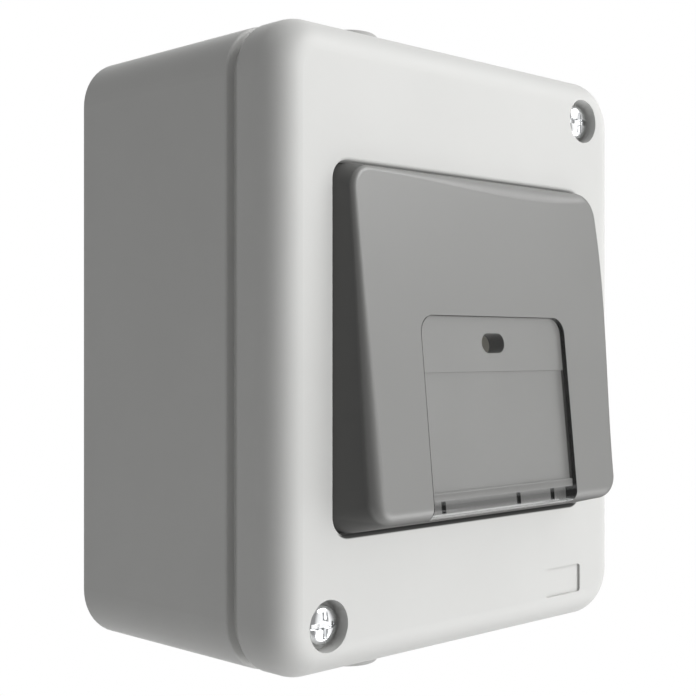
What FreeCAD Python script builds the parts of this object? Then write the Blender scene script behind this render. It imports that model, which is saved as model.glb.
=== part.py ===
import FreeCAD
import Part
import math
import os

# Surface-mounted weatherproof rocker switch.
# Millimetres. X is right seen from the front, +Y goes into the wall, +Z is up.
# The origin is the centre of the back face, which lies on the wall at Y = 0.

# Housing
body_width = 65.5
body_height = 76.0
corner_radius = 6.5
box_depth = 29.2
groove_width = 1.8
cover_depth = 7.0
box_wall = 2.5
back_wall = 2.5
rim_inset = 1.2
rim_lap = 1.5
parting_edge_radius = 0.3
fit = 0.1

# Front cover
cover_edge_radius = 4.0
cover_wall = 2.5
opening_width = 47.9
opening_height = 43.7
opening_radius = 2.4
opening_edge_radius = 0.4
opening_land = 1.2
opening_relief = 0.4
collar_wall = 1.8
gasket_thickness = 1.2
gasket_width = 1.2
plate_width = 7.9
plate_height = 3.9
plate_depth = 0.3
plate_radius = 0.5
plate_side_distance = 12.75
plate_end_distance = 5.85

# Fixings
fixing_side_distance = 8.05
post_end_gap = 0.2
well_gap = 0.7
well_depth = 2.3
well_wall = 1.2
well_floor = 1.6
screw_radius = 1.45
pilot_clearance = 0.05
shank_clearance = 0.2
screw_engagement = 7.0
head_radius = 2.35
head_height = 1.35
head_edge_radius = 1.0
drive_width = 0.75
drive_span = 3.2
drive_depth = 0.8
seal_ring_thickness = 0.4
seal_ring_inset = 0.2
post_wall = 1.9
web_thickness = 2.0
wall_hole_radius = 2.25
wall_boss_wall = 2.0
wall_boss_height = 1.5

# Cable entries
entry_back_distance = 15.8
entry_hole_radius = 7.0
grommet_flange = 1.6
grommet_flange_thickness = 1.0
grommet_wall = 1.2
nub_height = 5.6
nub_base_radius = 5.6
nub_tip_radius = 4.1
nub_edge_radius = 0.8

# Rocker
rocker_gap = 0.2
rocker_end_gap = 0.28
rocker_foot_setback = 0.95
rocker_face_proud = 4.7
rocker_corner_radius = 3.0
rocker_side_radius = 1.6
rocker_end_radius = 0.7
rocker_skirt = 9.7
rocker_wall = 1.6
rocker_face_wall = 1.8
rest_tilt = 5.8
pivot_setback = 3.5

# Label window and the recess under it
window_width = 28.2
window_top = 3.15
window_corner_radius = 2.2
window_thickness = 0.6
window_return_depth = 1.9
window_return_thickness = 1.9
window_sill = 1.0
upper_recess_depth = 0.15
lower_recess_depth = 0.45
recess_step_z = -3.7
pad_wall = 2.15
pad_margin = 1.55
lamp_hole_width = 4.4
lamp_hole_height = 2.5
lamp_hole_z = -0.15
key_width = 0.8
key_height = 1.6
key_depth = 0.9
key_places = (-10.3, 4.1, 11.2)

# Carrier under the rocker
saddle_width = 25.0
saddle_height = 12.0
saddle_thickness = 2.0
cheek_thickness = 2.0
cheek_radius = 3.2
trunnion_radius = 1.95
trunnion_clearance = 0.05
carrier_side_gap = 0.5
lamp_gate_gap = 1.6
peg_radius = 0.9
peg_inset = 2.0
peg_clearance = 0.05

# Plunger and its spring
contact_x = 7.2
plunger_radius = 2.0
plunger_clearance = 0.05
plunger_reach = 12.0
plunger_tail = 0.5
plunger_bore_radius = 1.4
plunger_nose = 3.5
guide_wall = 0.95
guide_reach = 7.0
spring_seat_depth = 0.5
spring_wire_radius = 0.22
spring_play = 0.1
spring_turns = 8
spring_wire_sides = 6

# Contacts
bridge_gap = 0.3
bridge_width = 5.0
bridge_end = 0.3
strip_thickness = 1.0
bridge_tilt = 6.0
contact_pitch = 16.0
tip_radius = 1.2
tip_thickness = 0.6
contact_clearance = 0.15
knife_gap = 0.1
knife_width = 1.6
cradle_thickness = 0.8
cradle_gap = 0.3
cradle_lip = 0.6

# Switch insert
insert_width = 41.0
insert_height = 41.0
insert_floor = 2.5
flange_margin = 1.25
flange_radius = 3.0
flange_thickness = 2.0
rocker_seal_thickness = 1.0
collar_reach = 7.5
ear_thickness = 3.5
ear_wall = 2.0
chamber_end_gap = 2.5
chamber_side_gap = 2.0
clamp_width = 7.0
clamp_height = 6.5
clamp_wall = 1.0
clamp_gap = 0.2
wire_hole_radius = 1.5
terminal_screw_radius = 1.4
terminal_head_radius = 2.2
terminal_head_height = 1.5
insert_screw_x = 16.0
insert_screw_gap = 0.9
insert_screw_engagement = 8.0

# Lamp
lamp_radius = 2.0
lamp_length = 6.9
lamp_seat = 0.7
holder_plate = 1.5
holder_wall = 0.6
holder_socket = 2.5
holder_left = 9.0
holder_margin = 2.5

# Levels along Y worked out from the sizes above
skirt_y = -(box_depth + groove_width)
front_y = skirt_y - cover_depth
rim_y = skirt_y - rim_lap
gasket_y = rim_y - gasket_thickness
well_floor_y = front_y + well_depth
post_y = well_floor_y + well_floor
collar_y = front_y + collar_reach
flange_y = collar_y + rocker_seal_thickness
flange_back_y = flange_y + flange_thickness
clamp_y = flange_y + terminal_head_height
pivot_y = front_y + pivot_setback
face_y = front_y - rocker_face_proud
window_seat_y = face_y + window_thickness
return_y = face_y + window_return_depth
upper_recess_y = window_seat_y + upper_recess_depth
recess_y = window_seat_y + lower_recess_depth
pad_y = recess_y + pad_wall
saddle_y = pad_y + saddle_thickness
plunger_tip_y = pivot_y + plunger_reach
bridge_front_y = plunger_tip_y + bridge_gap
bridge_y = bridge_front_y + strip_thickness
contact_swing = contact_pitch / 2 * math.sin(math.radians(bridge_tilt))
strip_y = bridge_y + contact_swing + 2 * tip_thickness + contact_clearance
chamber_floor_y = strip_y + strip_thickness
insert_back_y = chamber_floor_y + insert_floor

# Places in the front view worked out from the sizes above
rocker_width = opening_width - 2 * rocker_gap
swing_radius = math.hypot(opening_height / 2 - rocker_end_gap, pivot_setback)
rocker_lower_reach = opening_height / 2 - rocker_foot_setback
screw_pilot_radius = screw_radius + pilot_clearance
screw_clear_radius = screw_radius + shank_clearance
well_radius = head_radius + well_gap
post_radius = screw_pilot_radius + post_wall
fixing_x = body_width / 2 - fixing_side_distance
fixing_z = body_height / 2 - box_wall - post_end_gap - post_radius
cover_screw_points = [(-fixing_x, -fixing_z), (fixing_x, fixing_z)]
wall_screw_points = [(-fixing_x, fixing_z), (fixing_x, -fixing_z)]
plate_x = body_width / 2 - plate_side_distance
plate_z = plate_end_distance - body_height / 2
collar_width = opening_width + 2 * collar_wall
collar_height = opening_height + 2 * collar_wall
flange_width = collar_width + 2 * flange_margin
flange_height = collar_height + 2 * flange_margin
insert_screw_z = collar_height / 2 + insert_screw_gap + head_radius
insert_screw_points = [(-insert_screw_x, insert_screw_z), (insert_screw_x, -insert_screw_z)]
bridge_length = contact_pitch + 2 * (tip_radius + bridge_end)
chamber_height = bridge_length + 2 * chamber_end_gap
terminal_z = (insert_height - clamp_height) / 2
terminal_points = [(contact_x, terminal_z), (contact_x, -terminal_z), (-contact_x, terminal_z)]
window_foot = window_return_thickness - rocker_lower_reach
chamber_half_width = bridge_width / 2 + chamber_side_gap
past = 1.0
tolerance = 1e-4

x_axis = FreeCAD.Vector(1, 0, 0)
y_axis = FreeCAD.Vector(0, 1, 0)
z_axis = FreeCAD.Vector(0, 0, 1)


def block(x0, x1, y0, y1, z0, z1):
    """Box between three pairs of limits."""
    return Part.makeBox(x1 - x0, y1 - y0, z1 - z0, FreeCAD.Vector(x0, y0, z0))


def rod(radius, y0, y1, x, z):
    """Cylinder along Y between two levels."""
    return Part.makeCylinder(radius, y1 - y0, FreeCAD.Vector(x, y0, z), y_axis)


def edges_along(shape, axis):
    """Straight edges that run along an axis."""
    straight = [edge for edge in shape.Edges if isinstance(edge.Curve, Part.Line)]
    return [edge for edge in straight if abs(edge.tangentAt(edge.FirstParameter).dot(axis)) > 1 - tolerance]


def edges_at_level(edges, y):
    """Those of the edges that lie in the plane at one level of Y."""
    return [e for e in edges if abs(e.BoundBox.YMin - y) < tolerance and abs(e.BoundBox.YMax - y) < tolerance]


def rounded_prism(width, height, radius, y0, y1, x=0.0, z=0.0):
    """Rounded rectangle in the front view, carried along Y."""
    prism = block(x - width / 2, x + width / 2, y0, y1, z - height / 2, z + height / 2)
    return prism.makeFillet(radius, edges_along(prism, y_axis))


def inset_prism(inset, y0, y1):
    """Prism of the body's outline, drawn in by an inset."""
    return rounded_prism(body_width - 2 * inset, body_height - 2 * inset, corner_radius - inset, y0, y1)


def turned(profile, origin, axis, radial):
    """Solid turned from (radius, height) points about an axis through an origin."""
    points = [origin + radial * r + axis * h for r, h in profile]
    face = Part.Face(Part.makePolygon(points + points[:1]))
    return face.revolve(origin, axis, 360)


def tilted(shape):
    """Shape turned about the rocker's axis to its rest position, bottom edge out."""
    return shape.rotated(FreeCAD.Vector(0, pivot_y, 0), x_axis, -rest_tilt)


def rocked(shape):
    """Shape turned about the knife edge to the bridge's rest position."""
    return shape.rotated(FreeCAD.Vector(contact_x, bridge_y, 0), x_axis, bridge_tilt)


def fused(shapes):
    """One solid from overlapping or touching shapes."""
    return shapes[0].multiFuse(shapes[1:]).removeSplitter()


def post_webs(x, z, y0, y1):
    """Two webs that tie a screw post to the nearest side and end walls."""
    side = math.copysign(body_width / 2 - box_wall / 2, x)
    end = math.copysign(body_height / 2 - box_wall / 2, z)
    half = web_thickness / 2
    to_side = block(min(x, side), max(x, side), y0, y1, z - half, z + half)
    to_end = block(x - half, x + half, y0, y1, min(z, end), max(z, end))
    return [to_side, to_end]


def make_back_box():
    """Moulded box: outer shell, stepped sealing rim, posts, bosses and entries."""
    outer = inset_prism(0, -box_depth, 0)
    outer = outer.makeFillet(parting_edge_radius, edges_at_level(outer.Edges, -box_depth))
    rim = inset_prism(rim_inset, rim_y, -box_depth / 2)
    shell = outer.fuse(rim).cut(inset_prism(box_wall, rim_y - past, -back_wall))
    solids = [shell]
    for x, z in cover_screw_points:
        solids.append(rod(post_radius, post_y, -back_wall, x, z))
        solids += post_webs(x, z, -box_depth, -back_wall)
    for x, z in insert_screw_points:
        solids.append(rod(post_radius, flange_back_y, -back_wall, x, z))
    boss_y = -back_wall - wall_boss_height
    for x, z in wall_screw_points:
        solids.append(rod(wall_hole_radius + wall_boss_wall, boss_y, -back_wall, x, z))
    box = fused(solids)
    cuts = [rod(wall_hole_radius, boss_y - past, past, x, z) for x, z in wall_screw_points]
    for x, z in cover_screw_points:
        cuts.append(rod(screw_pilot_radius, post_y - past, post_y + screw_engagement + past, x, z))
    for x, z in insert_screw_points:
        cuts.append(rod(screw_pilot_radius, flange_y, flange_back_y + insert_screw_engagement + past, x, z))
    entry = FreeCAD.Vector(0, -entry_back_distance, -body_height)
    cuts.append(Part.makeCylinder(entry_hole_radius, 2 * body_height, entry, z_axis))
    return box.cut(fused(cuts))


def collar_prism(y0, y1):
    """Prism of the outer outline of the collar round the rocker."""
    return rounded_prism(collar_width, collar_height, opening_radius + collar_wall, y0, y1)


def make_lid_gasket():
    """Rubber ring on the box rim, under the cover's ledge."""
    ring = inset_prism(rim_inset, gasket_y, rim_y)
    return ring.cut(inset_prism(rim_inset + gasket_width, gasket_y - past, rim_y + past))


def make_front_cover():
    """Cover with rounded front edges, rocker collar, screw wells and a bare plate."""
    shell = inset_prism(0, front_y, skirt_y)
    shell = shell.makeFillet(cover_edge_radius, edges_at_level(shell.Edges, front_y))
    shell = shell.makeFillet(parting_edge_radius, edges_at_level(shell.Edges, skirt_y))
    shell = shell.cut(inset_prism(cover_wall, front_y + cover_wall, skirt_y + past))
    collar_top = front_y + cover_wall / 2
    solids = [shell, collar_prism(collar_top, collar_y)]
    for x, z in cover_screw_points:
        solids.append(rod(well_radius + well_wall, collar_top, post_y, x, z))
    channel = inset_prism(rim_inset - fit, gasket_y, skirt_y + past)
    channel = channel.cut(inset_prism(box_wall, gasket_y - past, skirt_y + 2 * past))
    cover = fused(solids).cut(channel)
    opening = rounded_prism(opening_width, opening_height, opening_radius, front_y - past, collar_y + past)
    cover = cover.cut(opening)
    near = FreeCAD.BoundBox(-collar_width / 2, front_y - past, -collar_height / 2,
                            collar_width / 2, front_y + past, collar_height / 2)
    rim_edges = [e for e in edges_at_level(cover.Edges, front_y) if near.isInside(e.BoundBox)]
    cover = cover.makeFillet(opening_edge_radius, rim_edges)
    relief_height = opening_height + 2 * opening_relief
    relief_y = front_y + opening_land
    cover = cover.cut(rounded_prism(opening_width, relief_height, opening_radius, relief_y, collar_y + past))
    for x, z in cover_screw_points:
        cover = cover.cut(rod(well_radius, front_y - past, well_floor_y, x, z))
        cover = cover.cut(rod(screw_clear_radius, well_floor_y - past, post_y + past, x, z))
    plate_y = front_y + plate_depth
    plate = rounded_prism(plate_width, plate_height, plate_radius, front_y - past, plate_y, plate_x, plate_z)
    return cover.cut(plate)


def make_screw(x, z, seat_y, tip_y):
    """Domed screw with a cross drive; its head sits on a seat."""
    head = rod(head_radius, seat_y - head_height, seat_y, x, z)
    top_y = seat_y - head_height
    head = head.makeFillet(head_edge_radius, edges_at_level(head.Edges, top_y))
    screw = head.fuse(rod(screw_radius, seat_y, tip_y, x, z))
    half = drive_width / 2
    reach = drive_span / 2
    for wide, tall in ((reach, half), (half, reach)):
        screw = screw.cut(block(x - wide, x + wide, top_y - past, top_y + drive_depth, z - tall, z + tall))
    return screw


def make_cover_screws():
    """Two screws through the cover into the box posts."""
    seat_y = well_floor_y - seal_ring_thickness
    tip_y = post_y + screw_engagement
    return Part.makeCompound([make_screw(x, z, seat_y, tip_y) for x, z in cover_screw_points])


def make_cover_screw_seals():
    """Two rubber rings under the cover screw heads."""
    rings = []
    for x, z in cover_screw_points:
        ring = rod(head_radius - seal_ring_inset, well_floor_y - seal_ring_thickness, well_floor_y, x, z)
        rings.append(ring.cut(rod(screw_clear_radius, well_floor_y - past, well_floor_y + past, x, z)))
    return Part.makeCompound(rings)


def make_cable_grommet(sense):
    """Closed rubber entry: two flanges that grip the wall and a hollow nub outside."""
    axis = z_axis * sense
    wall_face = FreeCAD.Vector(0, -entry_back_distance, sense * body_height / 2)
    flange_radius_out = entry_hole_radius + grommet_flange
    inner_face = -box_wall - grommet_flange_thickness
    outer = [
        (0, inner_face), (flange_radius_out, inner_face), (flange_radius_out, -box_wall),
        (entry_hole_radius, -box_wall), (entry_hole_radius, 0), (flange_radius_out, 0),
        (flange_radius_out - grommet_flange_thickness / 2, grommet_flange_thickness),
        (nub_base_radius, grommet_flange_thickness), (nub_tip_radius, nub_height), (0, nub_height),
    ]
    hollow = [
        (0, inner_face - past), (nub_base_radius - grommet_wall, inner_face - past),
        (nub_base_radius - grommet_wall, grommet_flange_thickness),
        (nub_tip_radius - grommet_wall, nub_height - grommet_wall), (0, nub_height - grommet_wall),
    ]
    body = turned(outer, wall_face, axis, x_axis)
    tip = body_height / 2 + nub_height
    rim = [e for e in body.Edges if abs(abs(e.CenterOfMass.z) - tip) < tolerance]
    body = body.makeFillet(nub_edge_radius, rim)
    return body.cut(turned(hollow, wall_face, axis, x_axis))


def swing_point(angle):
    """Point of the rocker's left side on its swing, at an angle from the top towards the front."""
    forward = swing_radius * math.sin(angle)
    return FreeCAD.Vector(-rocker_width / 2, pivot_y - forward, swing_radius * math.cos(angle))


def swing_arc(start, end):
    """Arc of the swing between two angles."""
    return Part.Arc(swing_point(start), swing_point((start + end) / 2), swing_point(end)).toShape()


def rocker_profile():
    """Left side of the rocker: both ends follow the swing, and the lower one runs out to the face."""
    reach = pivot_y - face_y
    tail = math.asin((rocker_skirt - reach) / swing_radius)
    face_angle = math.asin(reach / swing_radius)
    foot_distance = math.hypot(reach, rocker_lower_reach)
    foot_angle = math.pi - math.atan2(reach, rocker_lower_reach) + math.acos(swing_radius / foot_distance)
    foot = FreeCAD.Vector(-rocker_width / 2, face_y, -rocker_lower_reach)
    sides = [
        swing_arc(face_angle, -tail),
        Part.makeLine(swing_point(-tail), swing_point(math.pi + tail)),
        swing_arc(math.pi + tail, foot_angle),
        Part.makeLine(swing_point(foot_angle), foot),
        Part.makeLine(foot, swing_point(face_angle)),
    ]
    return Part.Face(Part.Wire(sides))


def rounded_loop(body, roundings):
    """Body with edges rounded by radii that change along them, in the order that they are given."""
    document = FreeCAD.newDocument()
    base = document.addObject("Part::Feature", "base")
    base.Shape = body
    rounded = document.addObject("Part::Fillet", "rounded")
    rounded.Base = base
    rounded.Edges = roundings
    document.recompute()
    shape = rounded.Shape.copy()
    FreeCAD.closeDocument(document.Name)
    return shape


def rocker_outline():
    """Outer form of the rocker, its front edge rounder at the sides than at the ends."""
    body = rocker_profile().extrude(x_axis * rocker_width)
    ends = [e for e in body.Edges if e.BoundBox.XLength < tolerance and e.BoundBox.YLength > tolerance]
    body = body.makeFillet(rocker_corner_radius, ends)
    roundings = []
    for number, edge in enumerate(body.Edges, 1):
        if edges_at_level([edge], face_y):
            limits = [edge.valueAt(edge.FirstParameter), edge.valueAt(edge.LastParameter)]
            if edge.Orientation == "Reversed":
                limits.reverse()
            at_side = [abs(abs(point.x) - rocker_width / 2) < tolerance for point in limits]
            radii = [rocker_side_radius if side else rocker_end_radius for side in at_side]
            roundings.append((number, *radii))
    for start in range(len(roundings)):
        # the loop closes for some first edges only
        outline = rounded_loop(body, roundings[start:] + roundings[:start])
        if not outline.isNull():
            break
    return outline


def window_plate(gap, low, back_y):
    """Plate of the window's outline with round upper corners, from the face to a level."""
    half_w = window_width / 2 - gap
    top = window_top - gap
    plate = block(-half_w, half_w, face_y - past, back_y, low, top)
    upper = [e for e in edges_along(plate, y_axis) if e.BoundBox.ZMin > top - tolerance]
    return plate.makeFillet(window_corner_radius, upper)


def window_pocket(gap):
    """Room of the clear insert in the rocker: a plate and a return under its foot."""
    half_w = window_width / 2 - gap
    below = -swing_radius - past
    foot = block(-half_w, half_w, face_y - past, return_y - gap, below, window_foot - gap)
    return fused([window_plate(gap, below, window_seat_y), foot])


def key_blocks(gap, back_y):
    """Short keys behind the foot of the clear insert, which hold it in slots of the rocker."""
    half = key_width / 2 - gap
    low = window_foot - key_height + gap
    high = window_foot - gap
    return [block(x - half, x + half, window_seat_y, back_y, low, high) for x in key_places]


def peg_points():
    """Places of the four pegs between the rocker and its carrier."""
    half_x = saddle_width / 2 - peg_inset
    half_z = saddle_height / 2 - peg_inset
    return [(x, z) for x in (-half_x, half_x) for z in (-half_z, half_z)]


def make_rocker():
    """Rocker cap: hollow shell, pad behind the window, stepped recess, lamp hole, slots and pegs."""
    end_y = face_y + rocker_skirt
    hollow_width = rocker_width - 2 * rocker_wall
    inner_radius = swing_radius - rocker_wall
    hollow = block(-hollow_width / 2, hollow_width / 2, face_y + rocker_face_wall, end_y + past,
                   -inner_radius, inner_radius)
    axis_end = FreeCAD.Vector(-rocker_width / 2, pivot_y, 0)
    hollow = hollow.common(Part.makeCylinder(inner_radius, rocker_width, axis_end, x_axis))
    pad_half = window_width / 2 + pad_margin
    pad_top = saddle_height / 2 + pad_margin
    hollow = hollow.cut(block(-pad_half, pad_half, face_y, pad_y, -swing_radius, pad_top))
    cap = rocker_outline().cut(hollow).cut(window_pocket(0))
    recess_low = window_foot + window_sill
    recess_half = window_width / 2
    cap = cap.cut(window_plate(0, recess_low, upper_recess_y))
    cap = cap.cut(block(-recess_half, recess_half, face_y, recess_y, recess_low, recess_step_z))
    lamp_hole = rounded_prism(lamp_hole_width, lamp_hole_height, lamp_hole_height / 2 - tolerance,
                              face_y, pad_y + past, 0, lamp_hole_z)
    cap = cap.cut(lamp_hole)
    pegs = [rod(peg_radius, pad_y - pad_wall / 2, saddle_y, x, z) for x, z in peg_points()]
    cap = cap.cut(fused(key_blocks(0, pad_y + past)))
    return tilted(fused([cap] + pegs))


def make_label_window():
    """Clear insert, flush with the rocker's face and wrapped under its bottom edge."""
    insert = fused([window_pocket(fit)] + key_blocks(fit, return_y + key_depth))
    return tilted(insert.common(rocker_outline()))


def make_rocker_carrier():
    """Tumbler under the rocker: saddle, two cheeks with trunnions and the plunger guide."""
    half_w = saddle_width / 2
    saddle = block(-half_w, half_w, pad_y, saddle_y, -saddle_height / 2, saddle_height / 2)
    gate = rod(lamp_radius + lamp_gate_gap, pad_y - past, saddle_y + past, 0, lamp_hole_z)
    solids = [saddle.cut(gate)]
    for side in (-1, 1):
        near = side * (half_w - cheek_thickness)
        far = side * half_w
        tip = side * (half_w + carrier_side_gap + ear_thickness)
        low = min(near, far)
        start = FreeCAD.Vector(low, pivot_y, 0)
        solids.append(Part.makeCylinder(cheek_radius, cheek_thickness, start, x_axis))
        solids.append(block(low, low + cheek_thickness, saddle_y, pivot_y, -cheek_radius, cheek_radius))
        pin_start = FreeCAD.Vector(min(near, tip), pivot_y, 0)
        solids.append(Part.makeCylinder(trunnion_radius, abs(tip - near), pin_start, x_axis))
    bore_radius = plunger_radius + plunger_clearance
    guide_y = pivot_y + guide_reach
    solids.append(rod(bore_radius + guide_wall, saddle_y - saddle_thickness / 2, guide_y, contact_x, 0))
    carrier = fused(solids)
    carrier = carrier.cut(rod(bore_radius, saddle_y - spring_seat_depth, guide_y + past, contact_x, 0))
    for x, z in peg_points():
        carrier = carrier.cut(rod(peg_radius + peg_clearance, pad_y - past, saddle_y + past, x, z))
    return tilted(carrier)


def make_plunger():
    """Hollow pin with a round nose; the spring sits in its bore."""
    tail_y = pivot_y - plunger_tail
    nose_y = plunger_tip_y - plunger_radius
    pin = rod(plunger_radius, tail_y, nose_y, contact_x, 0)
    pin = pin.fuse(Part.makeSphere(plunger_radius, FreeCAD.Vector(contact_x, nose_y, 0)))
    bore_end = plunger_tip_y - plunger_nose
    return tilted(pin.removeSplitter().cut(rod(plunger_bore_radius, tail_y - past, bore_end, contact_x, 0)))


def make_plunger_spring():
    """Helical spring between the bottom of the plunger's bore and the carrier."""
    mean_radius = plunger_bore_radius - spring_wire_radius - spring_play
    first_y = saddle_y - spring_seat_depth + spring_wire_radius
    last_y = plunger_tip_y - plunger_nose - spring_wire_radius
    length = last_y - first_y
    helix = Part.makeHelix(length / spring_turns, length, mean_radius)
    corners = []
    for side in range(spring_wire_sides + 1):
        turn = 2 * math.pi * side / spring_wire_sides
        out = mean_radius + spring_wire_radius * math.cos(turn)
        corners.append(FreeCAD.Vector(out, 0, spring_wire_radius * math.sin(turn)))
    section = Part.makePolygon(corners)
    coil = Part.Wire(helix).makePipeShell([section], True, True)
    coil.rotate(FreeCAD.Vector(0, 0, 0), x_axis, -90)
    coil.translate(FreeCAD.Vector(contact_x, first_y, 0))
    return tilted(coil)


def make_contact_bridge():
    """Flat see-saw bridge that rocks on the knife edge."""
    half_w = bridge_width / 2
    half_l = bridge_length / 2
    plate = block(contact_x - half_w, contact_x + half_w, bridge_front_y, bridge_y, -half_l, half_l)
    plate = plate.makeFillet(half_w / 2, edges_along(plate, y_axis))
    return rocked(plate)


def make_bridge_contact_tips():
    """Silver tips under both ends of the bridge."""
    half = contact_pitch / 2
    tips = [rod(tip_radius, bridge_y, bridge_y + tip_thickness, contact_x, z) for z in (-half, half)]
    return Part.makeCompound([rocked(tip) for tip in tips])


def make_common_contact():
    """Folded strip from the common clamp, with the knife edge and its cradle."""
    half = bridge_width / 2
    across = block(-contact_x - half, contact_x + half, strip_y, chamber_floor_y, -half, half)
    up = block(-contact_x - half, -contact_x + half, strip_y, chamber_floor_y, -half, insert_height / 2)
    knife_half = knife_width / 2
    edge_y = bridge_y + knife_gap
    left = contact_x - half
    corners = [(edge_y, 0), (strip_y, knife_half), (strip_y, -knife_half), (edge_y, 0)]
    section = Part.makePolygon([FreeCAD.Vector(left, y, z) for y, z in corners])
    knife = Part.Face(section).extrude(x_axis * bridge_width)
    solids = [across, up, knife]
    for side in (-1, 1):
        inner = contact_x + side * (half + cradle_gap)
        outer = inner + side * cradle_thickness
        low = min(inner, outer)
        high = low + cradle_thickness
        lip_y = bridge_front_y - cradle_lip
        solids.append(block(low, high, lip_y, chamber_floor_y, -knife_half, knife_half))
    low = contact_x - half - cradle_gap - cradle_thickness
    high = contact_x + half + cradle_gap + cradle_thickness
    solids.append(block(low, high, strip_y, chamber_floor_y, -knife_half, knife_half))
    return fused(solids)


def make_fixed_contact(sense):
    """Strip on the chamber floor from under a bridge tip to its wire clamp."""
    half = bridge_width / 2
    inner = contact_pitch / 2 - 2 * tip_radius
    outer = insert_height / 2
    low = min(sense * inner, sense * outer)
    return block(contact_x - half, contact_x + half, strip_y, chamber_floor_y, low, low + outer - inner)


def make_fixed_contact_tips():
    """Silver tips on the two fixed strips."""
    half = contact_pitch / 2
    tips = [rod(tip_radius, strip_y - tip_thickness, strip_y, contact_x, z) for z in (-half, half)]
    return Part.makeCompound(tips)


def clamp_room(x, z, gap):
    """Block of one wire clamp, grown by a gap at its sides, from the strip to the front."""
    half_w = clamp_width / 2 + gap
    half_h = clamp_height / 2 + gap
    return block(x - half_w, x + half_w, clamp_y, strip_y, z - half_h, z + half_h)


def make_terminal_clamps():
    """Three brass clamps, each with a wire hole and a screw hole."""
    clamps = []
    for x, z in terminal_points:
        clamp = clamp_room(x, z, 0)
        clamp = clamp.makeFillet(clamp_wall / 2, edges_along(clamp, y_axis))
        wire_y = strip_y - clamp_wall - wire_hole_radius
        start = FreeCAD.Vector(x, wire_y, z - clamp_height)
        clamp = clamp.cut(Part.makeCylinder(wire_hole_radius, 2 * clamp_height, start, z_axis))
        clamps.append(clamp.cut(rod(terminal_screw_radius + fit / 2, flange_y, wire_y, x, z)))
    return Part.makeCompound(clamps)


def make_terminal_screws():
    """Three slotted clamp screws."""
    screws = []
    tip_y = strip_y - clamp_wall - 2 * wire_hole_radius
    half = drive_width / 2
    slot_y = flange_y + drive_depth
    reach = terminal_head_radius + past
    for x, z in terminal_points:
        head = rod(terminal_head_radius, flange_y, clamp_y, x, z)
        screw = head.fuse(rod(terminal_screw_radius, clamp_y, tip_y, x, z))
        screws.append(screw.cut(block(x - reach, x + reach, flange_y - past, slot_y, z - half, z + half)))
    return Part.makeCompound(screws)


def bearing_ear(side):
    """Upright ear of the insert with the bearing hole of one trunnion."""
    radius = trunnion_radius + trunnion_clearance + ear_wall
    near = side * (saddle_width / 2 + carrier_side_gap)
    low = min(near, near + side * ear_thickness)
    upright = block(low, low + ear_thickness, pivot_y, flange_back_y, -radius, radius)
    start = FreeCAD.Vector(low, pivot_y, 0)
    return upright.fuse(Part.makeCylinder(radius, ear_thickness, start, x_axis))


def make_mechanism_base():
    """Moulded insert: block with flange, ears, contact chamber, strip channel and clamp rooms."""
    half_w = insert_width / 2
    half_h = insert_height / 2
    solids = [block(-half_w, half_w, flange_y, insert_back_y, -half_h, half_h)]
    solids.append(rounded_prism(flange_width, flange_height, flange_radius, flange_y, flange_back_y))
    for x, z in insert_screw_points:
        solids.append(rod(post_radius, flange_y, flange_back_y, x, z))
        solids.append(block(x - post_radius, x + post_radius, flange_y, flange_back_y, min(z, 0), max(z, 0)))
    solids += [bearing_ear(side) for side in (-1, 1)]
    base = fused(solids)
    chamber_low = contact_x - chamber_half_width
    chamber_high = contact_x + chamber_half_width
    half_chamber = chamber_height / 2
    half_strip = bridge_width / 2 + fit
    open_y = flange_y - past
    cuts = [block(chamber_low, chamber_high, open_y, chamber_floor_y, -half_chamber, half_chamber)]
    cuts.append(block(-contact_x - half_strip, contact_x, open_y, chamber_floor_y, -half_strip, half_strip))
    for x, z in terminal_points:
        inner = 0 if x < 0 else half_chamber - past
        low = min(math.copysign(inner, z), math.copysign(half_h + past, z))
        high = max(math.copysign(inner, z), math.copysign(half_h + past, z))
        cuts.append(block(x - half_strip, x + half_strip, strip_y - fit, chamber_floor_y, low, high))
        room_low = terminal_z - clamp_height / 2 - clamp_gap
        z0 = min(math.copysign(room_low, z), math.copysign(half_h + past, z))
        z1 = max(math.copysign(room_low, z), math.copysign(half_h + past, z))
        half_room = clamp_width / 2 + clamp_gap
        cuts.append(block(x - half_room, x + half_room, clamp_y, strip_y, z0, z1))
        cuts.append(rod(terminal_head_radius + clamp_gap, flange_y - past, clamp_y + past, x, z))
    hole_start = FreeCAD.Vector(-insert_width, pivot_y, 0)
    cuts.append(Part.makeCylinder(trunnion_radius + trunnion_clearance, 2 * insert_width, hole_start, x_axis))
    for x, z in insert_screw_points:
        cuts.append(rod(screw_clear_radius, flange_y - past, flange_back_y + past, x, z))
    return base.cut(fused(cuts))


def make_mechanism_screws():
    """Two screws that hold the insert's flange to the box posts."""
    tip_y = flange_back_y + insert_screw_engagement
    return Part.makeCompound([make_screw(x, z, flange_y, tip_y) for x, z in insert_screw_points])


def make_rocker_seal():
    """Flat rubber frame between the cover's collar and the insert's flange."""
    frame = collar_prism(collar_y, flange_y)
    opening = rounded_prism(opening_width, opening_height, opening_radius, collar_y - past, flange_y + past)
    return frame.cut(opening)


def make_lamp_holder():
    """Small plate over the strip channel, with the socket of the lamp."""
    half_h = bridge_width / 2 + holder_margin
    outer_radius = lamp_radius + fit / 2 + holder_wall
    plate_front = flange_y - holder_plate
    low = lamp_hole_z - half_h
    plate = block(-holder_left, outer_radius, plate_front, flange_y, low, lamp_hole_z + half_h)
    mouth_y = plate_front - holder_socket
    holder = fused([plate, rod(outer_radius, mouth_y, flange_y, 0, lamp_hole_z)])
    return holder.cut(rod(lamp_radius + fit / 2, mouth_y - past, flange_y - lamp_seat, 0, lamp_hole_z))


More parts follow.
